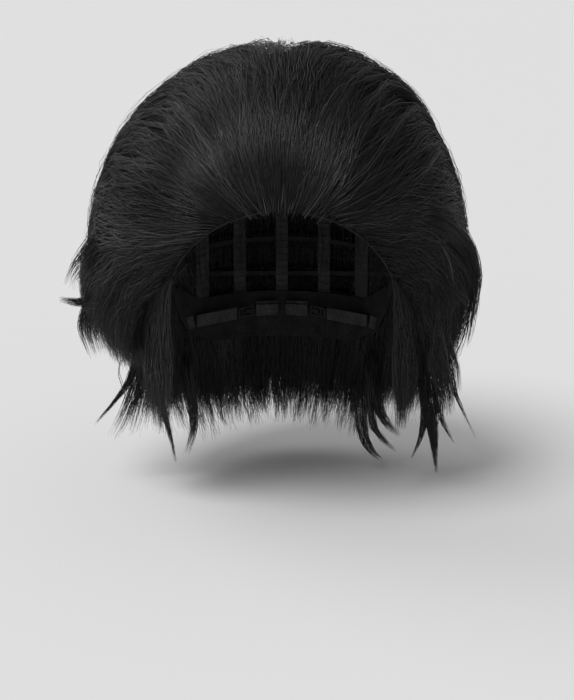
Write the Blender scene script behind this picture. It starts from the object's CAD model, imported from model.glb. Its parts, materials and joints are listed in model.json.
"""A short, swept-back costume wig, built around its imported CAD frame.

The hair is made of fine tapered tubes, combed through the space between the cap and the outer form
of the hair. Lengths in the hair functions are millimetres, and become metres where a mesh is made.
The wearer's left is +X, the face looks along -Y.
"""

import json
import math

import bpy
import numpy as np
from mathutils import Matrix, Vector, kdtree


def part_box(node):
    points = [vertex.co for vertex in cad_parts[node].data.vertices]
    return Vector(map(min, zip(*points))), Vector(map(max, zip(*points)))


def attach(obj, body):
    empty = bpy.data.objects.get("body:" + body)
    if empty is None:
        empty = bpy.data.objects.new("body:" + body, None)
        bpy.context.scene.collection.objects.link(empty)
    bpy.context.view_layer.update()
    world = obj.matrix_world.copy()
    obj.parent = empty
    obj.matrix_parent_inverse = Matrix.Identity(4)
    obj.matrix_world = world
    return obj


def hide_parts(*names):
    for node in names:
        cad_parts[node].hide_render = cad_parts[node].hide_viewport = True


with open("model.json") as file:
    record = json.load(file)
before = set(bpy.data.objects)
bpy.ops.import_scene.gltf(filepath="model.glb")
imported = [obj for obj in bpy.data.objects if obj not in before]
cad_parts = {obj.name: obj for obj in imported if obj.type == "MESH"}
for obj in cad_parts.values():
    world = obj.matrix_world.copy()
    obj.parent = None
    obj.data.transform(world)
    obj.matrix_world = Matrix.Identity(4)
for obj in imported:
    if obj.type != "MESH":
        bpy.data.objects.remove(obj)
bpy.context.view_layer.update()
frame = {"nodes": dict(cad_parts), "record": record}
NODES = frame["nodes"]
MM = 0.001
rng = np.random.default_rng(20)


def box_mm(node):
    """Lowest and highest corner of a CAD node, in millimetres."""
    low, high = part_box(node)
    return np.array(low) / MM, np.array(high) / MM


# --- Forms, taken from the frame --------------------------------------------------------------
# Widths and lengths are half axes. Rise is the half axis above the origin, drop the one below it.

# How far pieces of the cap stand off the head
NET_STAND_OFF = 0.9
BAND_STAND_OFF = 1.4
HEADER_STAND_OFF = 3.5

# The head, from the cap's pieces. These two end a little inside its widest places.
HEADER_SHORT, NAPE_BAND_SHORT = 2.5, 2.2
HEAD_WIDTH = box_mm("weft_header_04")[1][0] - HEADER_STAND_OFF + HEADER_SHORT
HEAD_LENGTH = box_mm("nape_band")[1][1] - NET_STAND_OFF + NAPE_BAND_SHORT
HEAD_RISE = box_mm("crown_net")[1][2] - NET_STAND_OFF
HEAD_DROP = 1.4 * HEAD_RISE

# The outer form of the hair. Its front is longer above than at the temples, and its top leans.
HAIR_RISE = box_mm("hair_crown")[1][2]
HAIR_CENTRE_X = (box_mm("hair_crown")[0][0] + box_mm("hair_crown")[1][0]) / 2
HAIR_WIDTH = 119.0
HAIR_LENGTH = 119.0
HAIR_CENTRE_Y = box_mm("hair_back_middle")[1][1] - HAIR_LENGTH
HAIR_DROP = 200.0
HAIR_SHOULDER = 2.17
CROWN_LEAN = 4.5
FRONT_LENGTH_HIGH = 112.0
FRONT_LENGTH_LOW = 84.0

# Below these heights the two forms' walls drop straight
WELL_Z = -45.0
LOWEST_Z = -140.0


def egg_ratio(p, width, length, rise, drop, floor_z, shoulder=2.0):
    """1 on an egg about the origin, more outside it. Below floor_z its wall drops straight, and a
    shoulder over 2 makes its upper half fuller."""
    flat = (p[..., 0] / width) ** 2 + (p[..., 1] / length) ** 2
    above = (flat ** (shoulder / 2) + (np.maximum(p[..., 2], 0) / rise) ** shoulder) ** (1 / shoulder)
    below = np.sqrt(flat / (1 - (np.clip(p[..., 2], floor_z, 0) / drop) ** 2))
    return np.where(p[..., 2] > 0, above, below)


def depth(p):
    """0 on the cap, 1 on the outer form of the hair."""
    head = (egg_ratio(p, HEAD_WIDTH, HEAD_LENGTH, HEAD_RISE, HEAD_DROP, WELL_Z) - 1) * HEAD_LENGTH
    shifted = p - np.array([HAIR_CENTRE_X, HAIR_CENTRE_Y, 0.0])
    shifted[..., 0] -= CROWN_LEAN * ease(70, 140, p[..., 2])
    front = FRONT_LENGTH_HIGH + (FRONT_LENGTH_LOW - FRONT_LENGTH_HIGH) * ease(75, -10, p[..., 2])
    length = np.where(shifted[..., 1] < 0, front, HAIR_LENGTH)
    ratio = egg_ratio(shifted, HAIR_WIDTH, length, HAIR_RISE, HAIR_DROP, LOWEST_Z, HAIR_SHOULDER)
    hair = (1 - ratio) * HAIR_LENGTH
    return head / np.maximum(head + hair, 6.0)


def slope_of(field, p, reach=0.5):
    """Gradient of a field at points, by central differences."""
    parts = []
    for axis in range(3):
        shift = np.zeros(3)
        shift[axis] = reach
        parts.append((field(p + shift) - field(p - shift)) / (2 * reach))
    return np.stack(parts, -1)


def unit(v):
    """Vectors at length 1."""
    return v / np.maximum(np.linalg.norm(v, axis=-1, keepdims=True), 1e-9)


def ease(low, high, x):
    """0 at low, 1 at high, with a smooth start and end."""
    t = np.clip((x - low) / (high - low), 0, 1)
    return t * t * (3 - 2 * t)


# --- Where hair is sewn on --------------------------------------------------------------------
# Rows fan out from ear to ear, about an axis through both ears. The hairline runs straight up and
# forward from each temple, in side view: its places are (y, z).

ROW_FIRST_ANGLE = 52.0
ROW_STEP = 14.0
ROW_COUNT = 12
ROW_INNER_RADIUS = 26.0
HAIRLINE_DIRECTION = np.array([-0.598, 0.802])
TEMPLE = np.array([-37.0, 0.0])
HAIRLINE_LENGTH = 72.8
HAIRLINE_INSET = 0.3
HAIRLINE_DEPTH = 5.0


def on_head(y, z, side, stand_off):
    """Points on the cap at given y and z, on one side."""
    low = np.where(z > 0, HEAD_RISE, HEAD_DROP) + stand_off
    inside = 1 - (y / (HEAD_LENGTH + stand_off)) ** 2 - (z / low) ** 2
    x = side * (HEAD_WIDTH + stand_off) * np.sqrt(np.maximum(inside, 0))
    return np.stack([x, y, z], -1)


def row_roots(row, count):
    """Roots along one fan row, and how far each is toward an ear, from -1 to 1."""
    angle = math.radians(ROW_FIRST_ANGLE + row * ROW_STEP) + rng.normal(0, 0.035, count)
    low = np.where(np.sin(angle) > 0, HEAD_RISE, HEAD_DROP) + HEADER_STAND_OFF
    flat = np.cos(angle) / (HEAD_LENGTH + HEADER_STAND_OFF)
    reach = 1 / np.sqrt(flat ** 2 + (np.sin(angle) / low) ** 2)
    turn = rng.uniform(-1, 1, count) * np.arccos(ROW_INNER_RADIUS / reach)
    radius = reach * np.cos(turn)
    x = (HEAD_WIDTH + HEADER_STAND_OFF) * np.sin(turn)
    p = np.stack([x, -radius * np.cos(angle), radius * np.sin(angle)], -1)
    return p, turn / (math.pi / 2)


def hairline_place(along, inward):
    """y and z of places a way along the hairline from the temple, and inward from it."""
    y = TEMPLE[0] + HAIRLINE_DIRECTION[0] * along + HAIRLINE_DIRECTION[1] * inward
    z = TEMPLE[1] + HAIRLINE_DIRECTION[1] * along - HAIRLINE_DIRECTION[0] * inward
    return y, z


def hairline_roots(count):
    """Roots along the hairline, from ear to ear, evenly across its width."""
    table = np.linspace(0, HAIRLINE_LENGTH, 200)
    line = on_head(*hairline_place(table, 0.0), 1.0, BAND_STAND_OFF)
    x = rng.uniform(-1, 1, count) * line[0, 0]
    along = np.interp(np.abs(x), line[::-1, 0], table[::-1])
    y, z = hairline_place(along, HAIRLINE_INSET + rng.random(count) * HAIRLINE_DEPTH)
    height = 1 - (x / (HEAD_WIDTH + BAND_STAND_OFF)) ** 2
    flat = y / (HEAD_LENGTH + BAND_STAND_OFF)
    reach = np.sqrt(height / (flat ** 2 + (z / (HEAD_RISE + BAND_STAND_OFF)) ** 2))
    return np.stack([x, y * reach, z * reach], -1), x / line[0, 0]


def temple_roots(count):
    """Roots at the lower end of the hairline, before each ear, and their sides."""
    side = rng.choice([-1.0, 1.0], count)
    along, inward = rng.uniform(0, 18, count), rng.uniform(0.5, 12, count)
    return on_head(*hairline_place(along, inward), side, BAND_STAND_OFF), side


def nape_roots(count):
    """Roots along the nape, behind the ears."""
    angle = rng.uniform(-1, 1, count) * math.radians(62)
    z = -52.0 + 14.0 * rng.random(count) - 6.0 * np.cos(angle)
    scale = np.sqrt(1 - (z / HEAD_DROP) ** 2)
    x = (HEAD_WIDTH + HEADER_STAND_OFF) * np.sin(angle) * scale
    y = (HEAD_LENGTH + HEADER_STAND_OFF) * np.cos(angle) * scale
    return np.stack([x, y, z], -1), angle / (math.pi / 2)


# --- How it is combed -------------------------------------------------------------------------

FAN_CENTRE_Z = 45.0


def comb_direction(p):
    """The way the hair runs: out from the face like rays that rise first and then turn outward, back
    over the crown, then down."""
    x, y, z = p[..., 0], p[..., 1], p[..., 2]
    outward = ease(45, 105, np.hypot(x, z - FAN_CENTRE_Z))
    rise = (z - FAN_CENTRE_Z) * (1.3 - 0.55 * outward) - 40 * ease(30, -30, z)
    front = unit(np.stack([x * (0.65 + 0.8 * outward), 62.0 + 60 * ease(70, 0, z), rise], -1))
    wide = np.abs(x)
    backward = 34.0 - 0.35 * wide * ease(60, 110, wide)
    back = unit(np.stack([0.12 * x, backward, np.full_like(x, -100.0)], -1))
    share = ease(-25, 70, y)[..., None]
    side = (ease(45, -25, z) * ease(55, 95, wide))[..., None]
    down = np.array([0.0, 0.16, -1.0])
    blend = (1 - share) * front + share * back
    return unit(blend * (1 - 0.8 * side) + 0.8 * side * down)


# Hair grows in steps. The roll fades with its length, and the climb and sink are shares of a step.
STEP = 4.0
STEPS = 75
ROLL_LENGTH = 9.0
ROLL_REACH = 14.0
ROLL_CLIMB = 0.65
CLIMB = 0.9
SINK = 0.7
STRAY_WAVE = 34.0
STRAY_STARTS, STRAY_FULL = 6.0, 60.0


def drift(p, phase):
    """A smooth unit-scale field that bends neighbouring strands alike. Layers differ by phase."""
    k = 2 * math.pi / STRAY_WAVE
    x, y, z = p[..., 0] * k, p[..., 1] * k, p[..., 2] * k
    return np.stack([np.sin(0.9 * y + 1.3 * z + phase) + 0.6 * np.sin(2.1 * z - 1.7 * y + 2 * phase),
                     np.sin(1.1 * z + 0.8 * x + 1.7 * phase) + 0.6 * np.sin(1.9 * x - 2.3 * z + phase),
                     np.sin(1.2 * x - 0.7 * y + 2.3 * phase) + 0.6 * np.sin(1.6 * y + 2.2 * x + phase)],
                    -1)


def comb(roots, goal, rise, roll, stray=0.34, fall=0.0):
    """Paths that leave the roots, rise to their share of the depth and follow the comb. Roll starts a
    path against the comb, so that it curls over. Stray is how far bunches leave the comb, and fall is
    how much of it gives way to hanging straight down at the sides."""
    p = roots.copy()
    path = [p]
    phase = rng.integers(0, 3, len(p)) * 2.1
    backward = rng.uniform(0.05, 0.7, len(p))
    hanging = unit(np.stack([np.zeros(len(p)), backward, np.full(len(p), -1.0)], -1))
    for k in range(STEPS):
        along = (k + 1) * STEP
        slope = slope_of(depth, p)
        steep = np.linalg.norm(slope, axis=-1, keepdims=True)
        out = slope / np.maximum(steep, 1e-6)
        wanted = goal * (1 - np.exp(-along / rise))
        climb = (wanted[:, None] - depth(p)[:, None]) / np.maximum(steep, 1e-3)
        steepest = np.where((roll > 0) & (along < ROLL_REACH), ROLL_CLIMB, CLIMB) * STEP
        climb = np.clip(climb, -SINK * STEP, steepest[:, None])
        hang = (fall * ease(60, 10, p[:, 2]) * ease(35, 60, np.abs(p[:, 0])))[:, None]
        flow = comb_direction(p) * (1 - hang) + hang * hanging
        flow = flow * (1 - roll * math.exp(-(along - STEP) / ROLL_LENGTH))[:, None]
        flow = flow + stray * ease(STRAY_STARTS, STRAY_FULL, along) * drift(p, phase)
        flow = unit(flow - (flow * out).sum(-1, keepdims=True) * out)
        p = p + out * climb + flow * np.sqrt(STEP ** 2 - climb ** 2)
        path.append(p)
    return np.stack(path, 1)


def sample(path, at):
    """Points of paths at fractional steps, one row of places for each path."""
    at = np.clip(at, 0, path.shape[1] - 1.001)
    low = at.astype(int)
    part = (at - low)[..., None]
    rows = np.arange(len(path))[:, None]
    return path[rows, low] * (1 - part) + path[rows, low + 1] * part


def trim(path, length, lowest, points):
    """Cuts each path at its length, or where it first drops below its lowest level."""
    below = path[:, :, 2] < lowest[:, None]
    below[:, 0] = False
    first = np.where(below.any(1), below.argmax(1), path.shape[1] - 1)
    end = np.minimum(first, length / STEP)
    end = np.maximum(end, 3.0)
    at = end[:, None] * np.linspace(0, 1, points)[None, :]
    return sample(path, at)


def clump(path, per_clump, strength, start=0.2):
    """Draws neighbouring strands together toward their tips, around one of them."""
    count = len(path)
    chosen = rng.choice(count, max(1, count // per_clump), replace=False)
    tree = kdtree.KDTree(len(chosen))
    middle = path[:, int(path.shape[1] * 0.6)]
    for k, c in enumerate(chosen):
        tree.insert(middle[c], k)
    tree.balance()
    guide = np.array([chosen[tree.find(m)[1]] for m in middle])
    t = np.linspace(0, 1, path.shape[1])
    pull = ease(start, 1.0, t)[None, :] * (strength * rng.uniform(0.55, 1.0, count))[:, None]
    pull = pull[..., None]
    return path * (1 - pull) + path[guide] * pull, guide


def soften(path):
    """Rounds the corners of paths and keeps their ends."""
    smooth = path.copy()
    for _ in range(2):
        smooth[:, 1:-1] = 0.25 * smooth[:, :-2] + 0.5 * smooth[:, 1:-1] + 0.25 * smooth[:, 2:]
    return smooth


FLARE = 6.5


def flare(path):
    """The ends at the sides stand out a little from the form."""
    x, z = path[..., 0], path[..., 2]
    out = FLARE * ease(24, -6, z) * ease(-72, -30, z) * ease(84, 114, np.abs(x))
    path = path.copy()
    path[..., 0] += np.sign(x) * out
    return path


def wander(path, amount, waves=2.2):
    """Gentle irregular bends, none at the root."""
    count, points = path.shape[:2]
    t = np.linspace(0, 1, points)[None, :, None]
    bent = path.copy()
    for octave, gain in ((1, 1.0), (2.3, 0.45), (4.7, 0.2)):
        phase = rng.uniform(0, 2 * math.pi, (count, 1, 3))
        speed = waves * octave * rng.uniform(0.7, 1.3, (count, 1, 3))
        size = rng.normal(0, amount * gain, (count, 1, 3))
        bent += size * np.sin(2 * math.pi * speed * t + phase) * ease(0, 0.35, t)
    return bent


# --- Meshes -----------------------------------------------------------------------------------

SIDES = 3
TONES = 64
FACES_PER_PIECE = 190000


def tube_mesh(name, paths, radii, tone):
    """One mesh of tapered three-sided tubes. The UV map keeps each strand's look: u runs from root to
    tip, and v is the strand's tone, from 0 for dark to 1 for light."""
    count, points = paths.shape[:2]
    tangent = unit(np.gradient(paths, axis=1))
    outward = unit(paths - np.array([0.0, 10.0, -20.0]))
    across = unit(np.cross(tangent, outward))
    outward = np.cross(across, tangent)
    roll = rng.uniform(0, 2 * math.pi, count)
    rings = []
    for k in range(SIDES):
        turn = (roll + 2 * math.pi * k / SIDES)[:, None, None]
        rings.append(paths + radii[..., None] * (np.cos(turn) * outward + np.sin(turn) * across))
    verts = np.stack(rings, 2).reshape(-1, 3) * MM
    ring = np.arange(count * points).reshape(count, points)
    quads = []
    u = np.linspace(0, 1, points)
    row = np.clip(tone * TONES, 0, TONES - 1).astype(int)
    uv = []
    for k in range(SIDES):
        n = (k + 1) % SIDES
        a, b = ring[:, :-1] * SIDES, ring[:, 1:] * SIDES
        quads.append(np.stack([a + k, a + n, b + n, b + k], -1))
        low = (row[:, None] + 0.15 + 0.7 * k / SIDES) / TONES
        high = (row[:, None] + 0.15 + 0.7 * (k + 1) / SIDES) / TONES
        u0, u1 = np.broadcast_to(u[None, :-1], a.shape), np.broadcast_to(u[None, 1:], a.shape)
        v0, v1 = np.broadcast_to(low, a.shape), np.broadcast_to(high, a.shape)
        uv.append(np.stack([np.stack([u0, v0], -1), np.stack([u0, v1], -1),
                            np.stack([u1, v1], -1), np.stack([u1, v0], -1)], -2))
    quads = np.stack(quads, 2).reshape(-1, 4)
    uv = np.stack(uv, 2).reshape(-1, 2)
    first, last = ring[:, 0] * SIDES, ring[:, -1] * SIDES
    caps = np.concatenate([np.stack([first + 2, first + 1, first], -1),
                           np.stack([last, last + 1, last + 2], -1)])
    cap_v = ((row + 0.5) / TONES)[:, None] + np.array([0, 0.2, -0.2]) / TONES
    cap_uv = np.concatenate([np.stack([np.full((count, 3), end), cap_v], -1) for end in (0.0, 1.0)])
    mesh = bpy.data.meshes.new(name)
    mesh.vertices.add(len(verts))
    mesh.vertices.foreach_set("co", verts.astype(np.float32).ravel())
    mesh.loops.add(quads.size + caps.size)
    corners = np.concatenate([quads.ravel(), caps.ravel()])
    mesh.loops.foreach_set("vertex_index", corners.astype(np.int32))
    mesh.polygons.add(len(quads) + len(caps))
    starts = np.concatenate([np.arange(len(quads)) * 4, quads.size + np.arange(len(caps)) * 3])
    mesh.polygons.foreach_set("loop_start", starts.astype(np.int32))
    mesh.update(calc_edges=True)
    mesh.polygons.foreach_set("use_smooth", np.ones(len(quads) + len(caps), bool))
    layer = mesh.uv_layers.new(name="OFBake")
    layer.data.foreach_set("uv", np.concatenate([uv, cap_uv.reshape(-1, 2)]).astype(np.float32).ravel())
    mesh.update()
    obj = bpy.data.objects.new(name, mesh)
    bpy.context.scene.collection.objects.link(obj)
    return obj


def strand_radii(count, points, thickness, blunt=0.25):
    """Even along the strand, drawn to a fine tip."""
    t = np.linspace(0, 1, points)[None, :]
    taper = 1 - (1 - blunt) * ease(0.55, 1.0, t)
    return thickness * rng.uniform(0.75, 1.25, (count, 1)) * taper


# --- Materials --------------------------------------------------------------------------------

def new_material(name):
    """A node material, its tree and its shader."""
    material = bpy.data.materials.new(name)
    material.use_nodes = True
    tree = material.node_tree
    shader = tree.nodes["Principled BSDF"]
    return material, tree, shader


ROOT_SHARE = 0.12


def hair_material():
    """Near-black fibre with a soft sheen, a little lighter or darker by strand and along it."""
    material, tree, shader = new_material("hair_fibre")
    uv = tree.nodes.new("ShaderNodeUVMap")
    uv.uv_map = "OFBake"
    split = tree.nodes.new("ShaderNodeSeparateXYZ")
    tree.links.new(uv.outputs["UV"], split.inputs["Vector"])
    tone = tree.nodes.new("ShaderNodeValToRGB")
    tone.color_ramp.elements[0].color = (0.002, 0.002, 0.0021, 1)
    tone.color_ramp.elements[1].color = (0.07, 0.069, 0.07, 1)
    middle = tone.color_ramp.elements.new(0.65)
    middle.color = (0.011, 0.0108, 0.011, 1)
    tree.links.new(split.outputs["Y"], tone.inputs["Fac"])
    along = tree.nodes.new("ShaderNodeTexNoise")
    along.inputs["Scale"].default_value = 5.0
    tree.links.new(uv.outputs["UV"], along.inputs["Vector"])
    dark = tree.nodes.new("ShaderNodeMapRange")
    dark.inputs["To Min"].default_value = 0.6
    dark.inputs["To Max"].default_value = 1.35
    tree.links.new(along.outputs["Fac"], dark.inputs["Value"])
    gloss = tree.nodes.new("ShaderNodeMapRange")
    gloss.inputs["From Max"].default_value = ROOT_SHARE
    gloss.inputs["To Min"].default_value = 0.9
    gloss.inputs["To Max"].default_value = 0.32
    tree.links.new(split.outputs["X"], gloss.inputs["Value"])
    tree.links.new(gloss.outputs["Result"], shader.inputs["Roughness"])
    root = tree.nodes.new("ShaderNodeMapRange")
    root.inputs["From Max"].default_value = ROOT_SHARE
    root.inputs["To Min"].default_value = 0.25
    root.inputs["To Max"].default_value = 1.0
    tree.links.new(split.outputs["X"], root.inputs["Value"])
    shade = tree.nodes.new("ShaderNodeMath")
    shade.operation = "MULTIPLY"
    tree.links.new(dark.outputs["Result"], shade.inputs[0])
    tree.links.new(root.outputs["Result"], shade.inputs[1])
    mix = tree.nodes.new("ShaderNodeVectorMath")
    mix.operation = "SCALE"
    tree.links.new(tone.outputs["Color"], mix.inputs[0])
    tree.links.new(shade.outputs[0], mix.inputs["Scale"])
    tree.links.new(mix.outputs["Vector"], shader.inputs["Base Color"])
    shader.inputs["Specular IOR Level"].default_value = 0.36
    return material


def cloth_material(name, dark, light, thread, roughness, sheen):
    """Woven or knitted cloth: threads both ways, thread mm apart, with worn and darker patches."""
    material, tree, shader = new_material(name)
    place = tree.nodes.new("ShaderNodeTexCoord")
    waves = []
    for turn in ((0, 0, math.radians(45)), (0, math.radians(90), math.radians(45))):
        mapping = tree.nodes.new("ShaderNodeMapping")
        mapping.inputs["Rotation"].default_value = turn
        tree.links.new(place.outputs["Object"], mapping.inputs["Vector"])
        wave = tree.nodes.new("ShaderNodeTexWave")
        wave.inputs["Scale"].default_value = 0.314 / (thread * MM)
        wave.inputs["Distortion"].default_value = 0.6
        tree.links.new(mapping.outputs["Vector"], wave.inputs["Vector"])
        waves.append(wave)
    weave = tree.nodes.new("ShaderNodeMath")
    weave.operation = "MULTIPLY"
    tree.links.new(waves[0].outputs["Fac"], weave.inputs[0])
    tree.links.new(waves[1].outputs["Fac"], weave.inputs[1])
    patch = tree.nodes.new("ShaderNodeTexNoise")
    patch.inputs["Scale"].default_value = 90.0
    patch.inputs["Detail"].default_value = 4.0
    tree.links.new(place.outputs["Object"], patch.inputs["Vector"])
    fine = tree.nodes.new("ShaderNodeTexNoise")
    fine.inputs["Scale"].default_value = 0.5 / (thread * MM)
    tree.links.new(place.outputs["Object"], fine.inputs["Vector"])
    both = tree.nodes.new("ShaderNodeMath")
    both.operation = "MULTIPLY"
    tree.links.new(fine.outputs["Fac"], both.inputs[0])
    tree.links.new(patch.outputs["Fac"], both.inputs[1])
    ramp = tree.nodes.new("ShaderNodeValToRGB")
    ramp.color_ramp.elements[0].color = (*dark, 1)
    ramp.color_ramp.elements[1].color = (*light, 1)
    ramp.color_ramp.elements[1].position = 0.6
    tree.links.new(both.outputs[0], ramp.inputs["Fac"])
    tree.links.new(ramp.outputs["Color"], shader.inputs["Base Color"])
    bump = tree.nodes.new("ShaderNodeBump")
    bump.inputs["Strength"].default_value = 0.3
    bump.inputs["Distance"].default_value = 0.2 * MM
    tree.links.new(weave.outputs[0], bump.inputs["Height"])
    tree.links.new(bump.outputs["Normal"], shader.inputs["Normal"])
    shader.inputs["Roughness"].default_value = roughness
    shader.inputs["Specular IOR Level"].default_value = 0.15
    shader.inputs["Sheen Weight"].default_value = sheen
    return material


def plastic_material():
    """Moulded black plastic with a fine uneven gloss."""
    material, tree, shader = new_material("hook_plastic")
    place = tree.nodes.new("ShaderNodeTexCoord")
    grain = tree.nodes.new("ShaderNodeTexNoise")
    grain.inputs["Scale"].default_value = 900.0
    tree.links.new(place.outputs["Object"], grain.inputs["Vector"])
    ramp = tree.nodes.new("ShaderNodeValToRGB")
    ramp.color_ramp.elements[0].color = (0.010, 0.010, 0.011, 1)
    ramp.color_ramp.elements[1].color = (0.022, 0.022, 0.024, 1)
    tree.links.new(grain.outputs["Fac"], ramp.inputs["Fac"])
    tree.links.new(ramp.outputs["Color"], shader.inputs["Base Color"])
    gloss = tree.nodes.new("ShaderNodeMapRange")
    gloss.inputs["To Min"].default_value = 0.28
    gloss.inputs["To Max"].default_value = 0.45
    tree.links.new(grain.outputs["Fac"], gloss.inputs["Value"])
    tree.links.new(gloss.outputs["Result"], shader.inputs["Roughness"])
    return material


# The cap's materials, by material slot
BLACK = (0.004, 0.004, 0.0042)
CLOTHS = {
    "cap_net": cloth_material("net_thread", BLACK, (0.032, 0.032, 0.034), 0.3, 0.8, 0.1),
    "cap_tape": cloth_material("cap_cloth", BLACK, (0.040, 0.040, 0.042), 0.55, 0.95, 0.0),
    "elastic": cloth_material("knit_elastic", BLACK, (0.075, 0.075, 0.078), 0.8, 0.75, 0.1),
    "weft_thread": cloth_material("weft_stitching", BLACK, (0.034, 0.034, 0.036), 0.9, 0.85, 0.1),
    "plastic": plastic_material(),
}
HAIR = hair_material()

for row in frame["record"]["subparts"]:
    if row["material_slot"] in CLOTHS:
        for place in NODES[row["node"]].material_slots:
            place.material = CLOTHS[row["material_slot"]]


def add_hair(name, paths, tone, thickness, nodes=(), blunt=0.25):
    """Hair on the cap, in as many pieces as keeps each one's mesh modest."""
    count, points = paths.shape[:2]
    per_strand = (points - 1) * SIDES * 2 + 2
    pieces = max(1, math.ceil(count * per_strand / FACES_PER_PIECE))
    order = rng.permutation(count)
    for k, part in enumerate(np.array_split(order, pieces)):
        label = name if pieces == 1 else f"{name}_{k + 1}"
        radii = strand_radii(len(part), points, thickness, blunt)
        obj = tube_mesh(label, paths[part], radii, tone[part])
        obj.data.materials.append(HAIR)
        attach(obj, "cap")
        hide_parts(*nodes)


# --- The hair ---------------------------------------------------------------------------------

DENSITY = 1.0
THICKNESS = 0.17
BAND_TONE, CLUMP_TONE, STRAND_TONE = 0.32, 0.34, 0.34
HAIRLINE_STRANDS = 15000
ROW_STRANDS = 2600
TEMPLE_STRANDS = 2600
NAPE_STRANDS = 3400
CROWN_ROWS, BACK_UPPER_ROWS, BACK_MIDDLE_ROWS = 5, 8, 10


def number(n):
    return max(10, int(n * DENSITY))


def spread(low, high, count):
    return rng.uniform(low, high, count)


def broad_tone(roots):
    """Tone by where a strand grows: bands a finger wide, lighter on the wearer's right."""
    x, y = roots[:, 0], roots[:, 1]
    bands = np.sin(x / 4.7 + 0.03 * y + 0.6) + 0.8 * np.sin(x / 8.3 - 0.02 * y + 2.1)
    return np.clip(0.58 + 0.25 * bands - 0.45 * x / HEAD_WIDTH, 0, 1)


def grow(roots, goal, rise, roll, length, lowest, points, per_clump, strength, start, bend, fall=0.0):
    """Combed, cut, clumped and slightly bent strands."""
    paths = trim(soften(comb(roots, goal, rise, roll, fall=fall)), length, lowest, points)
    paths, guide = clump(paths, per_clump, strength, start)
    tone = BAND_TONE * broad_tone(roots)
    tone = tone + CLUMP_TONE * rng.random(len(paths))[guide] + STRAND_TONE * rng.random(len(paths))
    return wander(flare(paths), bend), tone


sets = {}


def keep(name, hair, chosen=slice(None)):
    """Adds the chosen strands to those that stand for one CAD node."""
    paths, tone = hair
    sets.setdefault(name, []).append((paths[chosen], tone[chosen]))


def upper_ends(ear, goal, count):
    """Where the upper layer is cut: lower within than on the outside, with a ragged edge."""
    right_side = -22.0 - 28.0 * ease(1.0, 0.8, goal) + spread(-7, 7, count)
    left_side = np.where(goal > 0.9, spread(-20, -6, count), spread(-62, -16, count))
    return np.where(ear < 0, right_side, left_side)


# Hairline: the longest hair, which rolls up off the forehead and makes the outer surface
count = number(HAIRLINE_STRANDS)
roots, ear = hairline_roots(count)
goal = 0.45 + 0.55 * rng.random(count) ** 0.6
length = 285 - 70 * np.abs(ear) ** 2 + spread(-25, 15, count)
lowest = np.where(np.abs(ear) > 0.45, upper_ends(ear, goal, count), spread(-45, 10, count))
roll = (spread(0.6, 1.9, count) + 0.9 * (rng.random(count) < 0.3)) * (1 - 0.4 * np.abs(ear))
keep("hair_front_roll", grow(roots, goal, spread(5, 13, count), roll, length, lowest,
                             points=16, per_clump=60, strength=0.3, start=0.35, bend=1.15))

# Rows: the middle of each falls back, and its sides make an upper layer and, under it, columns that
# hang to the jaw
for row in range(ROW_COUNT):
    count = number(ROW_STRANDS)
    roots, ear = row_roots(row, count)
    back = row / (ROW_COUNT - 1)
    side = np.abs(ear) > 0.5
    column = side & (rng.random(count) < 0.55)
    goal = (0.30 + 0.68 * rng.random(count) ** 0.7) * (1 - 0.3 * back)
    hung = np.where(ear < 0, spread(0.05, 0.72, count), spread(0.05, 0.98, count))
    goal = np.where(column, hung, goal)
    length = 245 - 130 * back + spread(-20, 20, count)
    length = np.where(side, np.maximum(length, 210), length)
    lowest = np.full(count, -14.0 - 72 * back) + spread(-34, 20, count)
    lowest = np.where(side, upper_ends(ear, goal, count), lowest)
    lowest = np.where(column, spread(-100, -86, count), lowest)
    name = ("hair_crown" if row < CROWN_ROWS else "hair_back_upper" if row < BACK_UPPER_ROWS
            else "hair_back_middle" if row < BACK_MIDDLE_ROWS else "hair_back_lower")
    fall = np.where(column, spread(0, 1.0, count), 0.0)
    hair = grow(roots, goal, spread(14, 28, count), np.zeros(count), length, lowest,
                points=12, per_clump=50, strength=0.4, start=0.35, bend=1.0, fall=fall)
    for sign, word in ((-1, "right"), (1, "left")):
        here = ear * sign > 0
        keep(f"hair_{word}_side_lower", hair, column & here)
        keep(f"hair_{word}_side_upper", hair, side & ~column & here)
    keep(name, hair, ~side)

# Temples: hair that hangs over the ear tabs, beside the face
count = number(TEMPLE_STRANDS)
roots, ear = temple_roots(count)
hair = grow(roots, spread(0.12, 0.5, count), spread(8, 16, count), np.zeros(count),
            spread(80, 125, count), spread(-100, -78, count),
            points=12, per_clump=45, strength=0.45, start=0.4, bend=0.6, fall=spread(0.7, 1.0, count))
keep("hair_right_side_lower", hair, ear < 0)
keep("hair_left_side_lower", hair, ear > 0)

# Nape: the shortest hair, under the rest
count = number(NAPE_STRANDS)
roots, _ = nape_roots(count)
keep("hair_nape", grow(roots, spread(0.05, 0.6, count), spread(20, 40, count), np.zeros(count),
                       spread(60, 95, count), spread(-128, -100, count),
                       points=12, per_clump=40, strength=0.5, start=0.3, bend=0.8))

for name, many in sorted(sets.items()):
    paths, tone = (np.concatenate([part[k] for part in many]) for k in (0, 1))
    add_hair(name + "_strands", paths, tone, THICKNESS, [name])


# --- Locks that stand out ---------------------------------------------------------------------

LOCK_POINTS = 14
LOCK_CURVE = 60
LOCK_FLATNESS = 0.7
LOCK_BEND = 0.35


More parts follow.
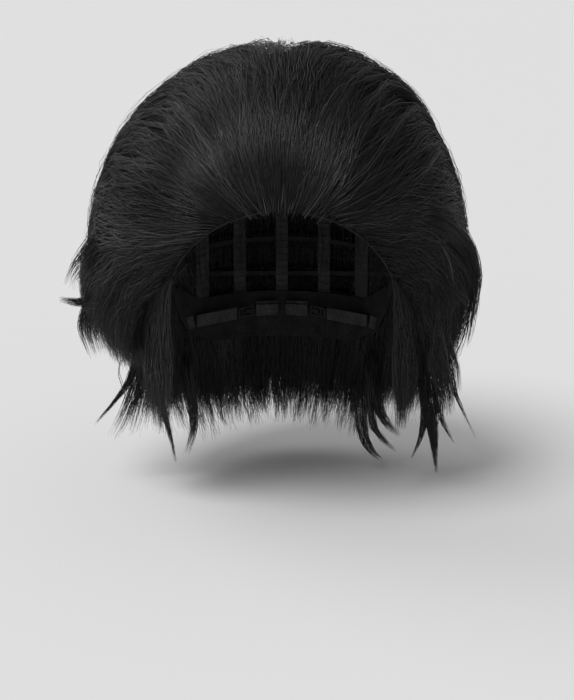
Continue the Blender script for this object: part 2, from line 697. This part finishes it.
def lock(name, line, width, tip_width, count, nodes=(), ragged=0.18):
    """A tuft round a smooth line through a few points, loose at the root and narrow at the tip."""
    line = np.array(line, float)
    padded = np.concatenate([[2 * line[0] - line[1]], line, [2 * line[-1] - line[-2]]])
    place = np.linspace(0, len(line) - 1.0001, LOCK_CURVE)
    k = place.astype(int)
    t = (place - k)[:, None]
    a, b, c, d = padded[k], padded[k + 1], padded[k + 2], padded[k + 3]
    curve = 0.5 * (2 * b + (c - a) * t + (2 * a - 5 * b + 4 * c - d) * t ** 2
                   + (3 * b - a - 3 * c + d) * t ** 3)
    tangent = unit(np.gradient(curve, axis=0))
    across = unit(np.cross(tangent, np.array([0.0, 1.0, 0.0])))
    other = np.cross(across, tangent)
    radius = width + (tip_width - width) * ease(0.1, 1.0, np.linspace(0, 1, LOCK_CURVE))
    turn, away = spread(0, 2 * math.pi, count), np.sqrt(rng.random(count))
    wide, deep = np.cos(turn) * away, np.sin(turn) * away
    offset = wide[:, None, None] * across + LOCK_FLATNESS * deep[:, None, None] * other
    full = curve[None] + offset * radius[None, :, None]
    last = LOCK_CURVE - 1
    begin, end = spread(0.0, 0.25, count) * last, spread(1 - ragged, 1.0, count) * last
    at = begin[:, None] + (end - begin)[:, None] * np.linspace(0, 1, LOCK_POINTS)[None]
    low = np.minimum(at.astype(int), last - 1)
    part = (at - low)[..., None]
    rows = np.arange(count)[:, None]
    paths = full[rows, low] * (1 - part) + full[rows, low + 1] * part
    add_hair(name, wander(paths, LOCK_BEND), spread(0.1, 0.9, count), THICKNESS, nodes, blunt=0.2)


# Each lock: its name, the points of its line, its width and tip width, its strands, the share of
# its length in which they end, and the CAD node it stands for, if any
LOCKS = (
    ("right_flip_lock",
     [(-104, -12, 20), (-114, -8, -2), (-122, -9, -14), (-137, -12, -12)],
     6, 2.0, 190, 0.3, "hair_right_flip"),
    ("right_flip_wisps",
     [(-108, -8, 30), (-120, -6, 14), (-128, -7, 4), (-132, -9, -6)],
     7, 5.0, 90, 0.7, ""),
    ("right_sweep_lock",
     [(-60, -35, 22), (-74, -31, 6), (-92, -22, -6), (-110, -14, -14), (-124, -9, -17)],
     9, 5, 420, 0.45, ""),
    ("right_bulge_lock",
     [(-96, -10, 2), (-112, -4, -14), (-121, 2, -32), (-117, 7, -54)],
     9, 6, 340, 0.45, ""),
    ("right_spike_lock",
     [(-86, 25, -38), (-92, 25, -58), (-100, 24, -78), (-121, 22, -104)],
     4, 0.6, 70, 0.15, ""),
    ("right_end_outer",
     [(-88, 28, -55), (-95, 27, -84), (-109, 25, -114)],
     6, 4.5, 80, 0.4, "hair_right_cheek_tuft"),
    ("right_end_middle",
     [(-86, 30, -55), (-90, 30, -86), (-97, 30, -114)],
     6, 4.5, 80, 0.4, ""),
    ("right_end_inner",
     [(-80, 32, -55), (-82, 33, -86), (-86, 35, -112)],
     6, 4.5, 80, 0.4, ""),
    ("right_slim_lock",
     [(-76, 30, -55), (-78, 30, -87), (-73, 30, -112), (-69, 30, -132)],
     3, 0.7, 50, 0.3, ""),
    ("right_cheek_lock",
     [(-70, 38, -55), (-71, 40, -86), (-65, 40, -113)],
     5, 3.0, 80, 0.4, ""),
    ("right_jaw_lock",
     [(-64, 44, -55), (-60, 46, -90), (-58, 45, -112), (-63, 41, -131)],
     4, 2.4, 90, 0.35, "hair_right_jaw_tuft"),
    ("left_crescent_lock",
     [(62, -46, 44), (79, -40, 37), (93, -31, 22), (100, -22, 4), (101, -14, -12), (99, -6, -28),
      (104, 2, -46), (110, 12, -64), (112, 18, -82)],
     6, 3, 420, 0.4, ""),
    ("left_temple_lock",
     [(70, -37, 26), (82, -29, 4), (90, -20, -24), (97, -6, -52), (104, 10, -80), (106, 16, -96)],
     9, 5, 420, 0.4, ""),
    ("left_shoulder_lock",
     [(70, -44, 46), (92, -36, 41), (110, -16, 24), (119, -2, 2), (121, 3, -11)],
     7, 4, 320, 0.4, ""),
    ("left_outer_wisp",
     [(108, -2, 32), (118, 0, 10), (120, 0, -8), (118, 3, -34), (116, 5, -49)],
     5, 2.0, 70, 0.5, ""),
    ("left_edge_wisp",
     [(112, 0, 24), (120, 0, -2), (121, 3, -31)],
     4, 2.0, 50, 0.5, ""),
    ("left_stray_lock",
     [(100, 20, -50), (108, 20, -72), (113, 20, -87), (126, 22, -114)],
     3, 0.5, 30, 0.3, ""),
    ("left_long_lock",
     [(92, 25, -55), (95, 25, -86), (98, 25, -114), (100.5, 25, -138)],
     7, 0.9, 140, 0.3, "hair_left_cheek_tuft"),
    ("left_curl_lock",
     [(88, 25, -58), (92, 25, -93), (90, 25, -112), (84, 25, -128)],
     4, 0.7, 60, 0.3, ""),
    ("left_small_lock",
     [(98, 22, -66), (103, 22, -98), (112, 22, -117)],
     3, 0.8, 30, 0.4, ""),
    ("left_jaw_lock",
     [(57, 46, -58), (61, 45, -90), (67, 45, -107), (78, 45, -119)],
     5, 2.2, 100, 0.35, "hair_left_jaw_tuft"),
    ("left_jaw_wisp",
     [(56, 44, -66), (59, 42, -106), (66, 41, -119), (76, 40, -128)],
     3, 1.2, 45, 0.35, ""),
    ("left_low_lock",
     [(50, 42, -80), (53, 40, -114), (59, 39, -127), (67, 38, -134)],
     4, 1.6, 70, 0.35, ""),
)
for name, line, width, tip_width, count, ragged, node in LOCKS:
    lock(name, line, width, tip_width, number(count), [node] if node else [], ragged)
lock("stray_hair", [(-97, 8, -44), (-103, 12, -64), (-100, 14, -80), (-98, 16, -90)], 1.5, 1.5, 3)

# Loose single hairs that stand off the outer surface
LOOSE_ROWS = 9
LOOSE_PER_ROW = 70
LOOSE_THICKNESS = 0.08
parts = []
for row in range(LOOSE_ROWS):
    count = number(LOOSE_PER_ROW)
    roots, _ = row_roots(row, count)
    paths = comb(roots, spread(0.98, 1.04, count), spread(16, 40, count), np.zeros(count), stray=0.25)
    paths = trim(soften(paths), spread(90, 230, count), spread(-60, 0, count), 16)
    parts.append(wander(paths, 1.3, 2.5))
loose = np.concatenate(parts)
add_hair("loose_hairs", loose, spread(0.2, 0.8, len(loose)), LOOSE_THICKNESS, blunt=0.4)


# --- The net ----------------------------------------------------------------------------------

NET_PITCH = 4.5
NET_THREAD = 0.16
NET_STAND = 0.45
NET_CURVE = 120
NET_RUN_POINTS = 9
BAND_WIDTH = 17.0
HAIRLINE_INWARD = np.array([HAIRLINE_DIRECTION[1], -HAIRLINE_DIRECTION[0]])

# The upper edges of the ear binding and of the nape band, in side view
EAR_EDGE_Y = np.array([-17.0, -8.0, 4.0, 17.0, 26.0, 35.0, 40.0])
EAR_EDGE_Z = np.array([3.0, 11.0, 14.5, 9.0, -1.0, -18.0, -16.5])
NAPE_EDGE_Y = np.array([40.0, 62.0, 110.0])
NAPE_EDGE_Z = np.array([-16.0, -30.0, -32.2])


def in_net(p):
    """Whether points lie between the cap's bands, in side view."""
    inward = (p[:, 1:] - TEMPLE) @ HAIRLINE_INWARD
    front = inward > BAND_WIDTH
    edge = np.where(p[:, 1] < EAR_EDGE_Y[-1], np.interp(p[:, 1], EAR_EDGE_Y, EAR_EDGE_Z),
                    np.interp(p[:, 1], NAPE_EDGE_Y, NAPE_EDGE_Z))
    return front & ((p[:, 1] < EAR_EDGE_Y[0]) | (p[:, 2] > edge))


def net_slices(axis):
    """Closed curves where evenly spaced planes across one axis meet the head."""
    size = np.array([HEAD_WIDTH, HEAD_LENGTH, HEAD_RISE]) + NET_STAND
    reach = HEAD_DROP * 0.5 if axis == 2 else 0
    for level in np.arange(-size[axis] + 2.0 if axis < 2 else -reach, size[axis] - 1.0, NET_PITCH):
        turn = np.linspace(0, 2 * math.pi, NET_CURVE + 1)
        flat = np.full_like(turn, level)
        if axis == 2:
            drop = HEAD_RISE + NET_STAND if level > 0 else HEAD_DROP
            r = math.sqrt(max(0.0, 1 - (level / drop) ** 2))
            yield np.stack([r * size[0] * np.cos(turn), r * size[1] * np.sin(turn), flat], -1)
        else:
            r = math.sqrt(max(0.0, 1 - (level / size[axis]) ** 2))
            height = np.where(np.sin(turn) > 0, size[2], HEAD_DROP) * r * np.sin(turn)
            other = size[1 - axis] * r * np.cos(turn)
            yield np.stack([flat, other, height] if axis == 0 else [other, flat, height], -1)


def build_net():
    """Threads along each slice wherever a short run of them lies in the net."""
    runs = []
    for axis in range(3):
        for curve in net_slices(axis):
            inside = in_net(curve)
            for start in range(0, NET_CURVE, NET_RUN_POINTS - 1):
                run = slice(start, start + NET_RUN_POINTS)
                if inside[run].all():
                    runs.append(curve[run])
    runs = np.array(runs)
    net = tube_mesh("stretch_net", runs, np.full(runs.shape[:2], NET_THREAD), np.full(len(runs), 0.5))
    net.data.materials.append(CLOTHS["cap_net"])
    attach(net, "cap")
    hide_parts("crown_net")


build_net()

# --- Stage ------------------------------------------------------------------------------------

CAMERA_ELEVATION = math.radians(13.0)
CAMERA_DISTANCE = 1.2
CAMERA_LENS = 99.5
AIM_BELOW = math.radians(2.2)
AIM_RIGHT = math.radians(0.15)

aim = CAMERA_ELEVATION + AIM_BELOW
look = Vector((math.sin(AIM_RIGHT), math.cos(AIM_RIGHT) * math.cos(aim), -math.sin(aim)))
camera_data = bpy.data.cameras.new("camera")
camera_data.sensor_fit = "VERTICAL"
camera_data.sensor_height = 36.0
camera_data.lens = CAMERA_LENS
camera = bpy.data.objects.new("camera", camera_data)
bpy.context.scene.collection.objects.link(camera)
camera.location = (0, -CAMERA_DISTANCE * math.cos(CAMERA_ELEVATION),
                   CAMERA_DISTANCE * math.sin(CAMERA_ELEVATION))
camera.rotation_euler = look.to_track_quat("-Z", "Y").to_euler()
bpy.context.scene.camera = camera

FLOOR_REACH = 80.0
FLOOR_Z = -0.142
FLOOR_CORNERS = ((-1, -1), (1, -1), (1, 1), (-1, 1))
floor_mesh = bpy.data.meshes.new("floor")
floor_mesh.from_pydata([(x * FLOOR_REACH, y * FLOOR_REACH, FLOOR_Z) for x, y in FLOOR_CORNERS],
                       [], [(0, 1, 2, 3)])
floor = bpy.data.objects.new("floor", floor_mesh)
bpy.context.scene.collection.objects.link(floor)
floor_material, _, floor_shader = new_material("floor")
floor_shader.inputs["Base Color"].default_value = (0.57, 0.57, 0.57, 1)
floor_shader.inputs["Roughness"].default_value = 0.9
floor.data.materials.append(floor_material)

world = bpy.data.worlds.new("studio")
world.use_nodes = True
world.node_tree.nodes["Background"].inputs["Color"].default_value = (1, 1, 1, 1)
world.node_tree.nodes["Background"].inputs["Strength"].default_value = 0.44
bpy.context.scene.world = world


def soft_sun(name, toward, strength, angle):
    """Even light from far away, as from a large window."""
    data = bpy.data.lights.new(name, "SUN")
    data.energy = strength
    data.angle = math.radians(angle)
    light = bpy.data.objects.new(name, data)
    bpy.context.scene.collection.objects.link(light)
    light.rotation_euler = (-Vector(toward)).to_track_quat("-Z", "Y").to_euler()


soft_sun("key", (-0.42, -0.42, 1.0), 2.5, 30)
soft_sun("back", (-0.75, 0.5, 0.7), 0.9, 40)

bpy.context.scene.view_settings.view_transform = "Standard"
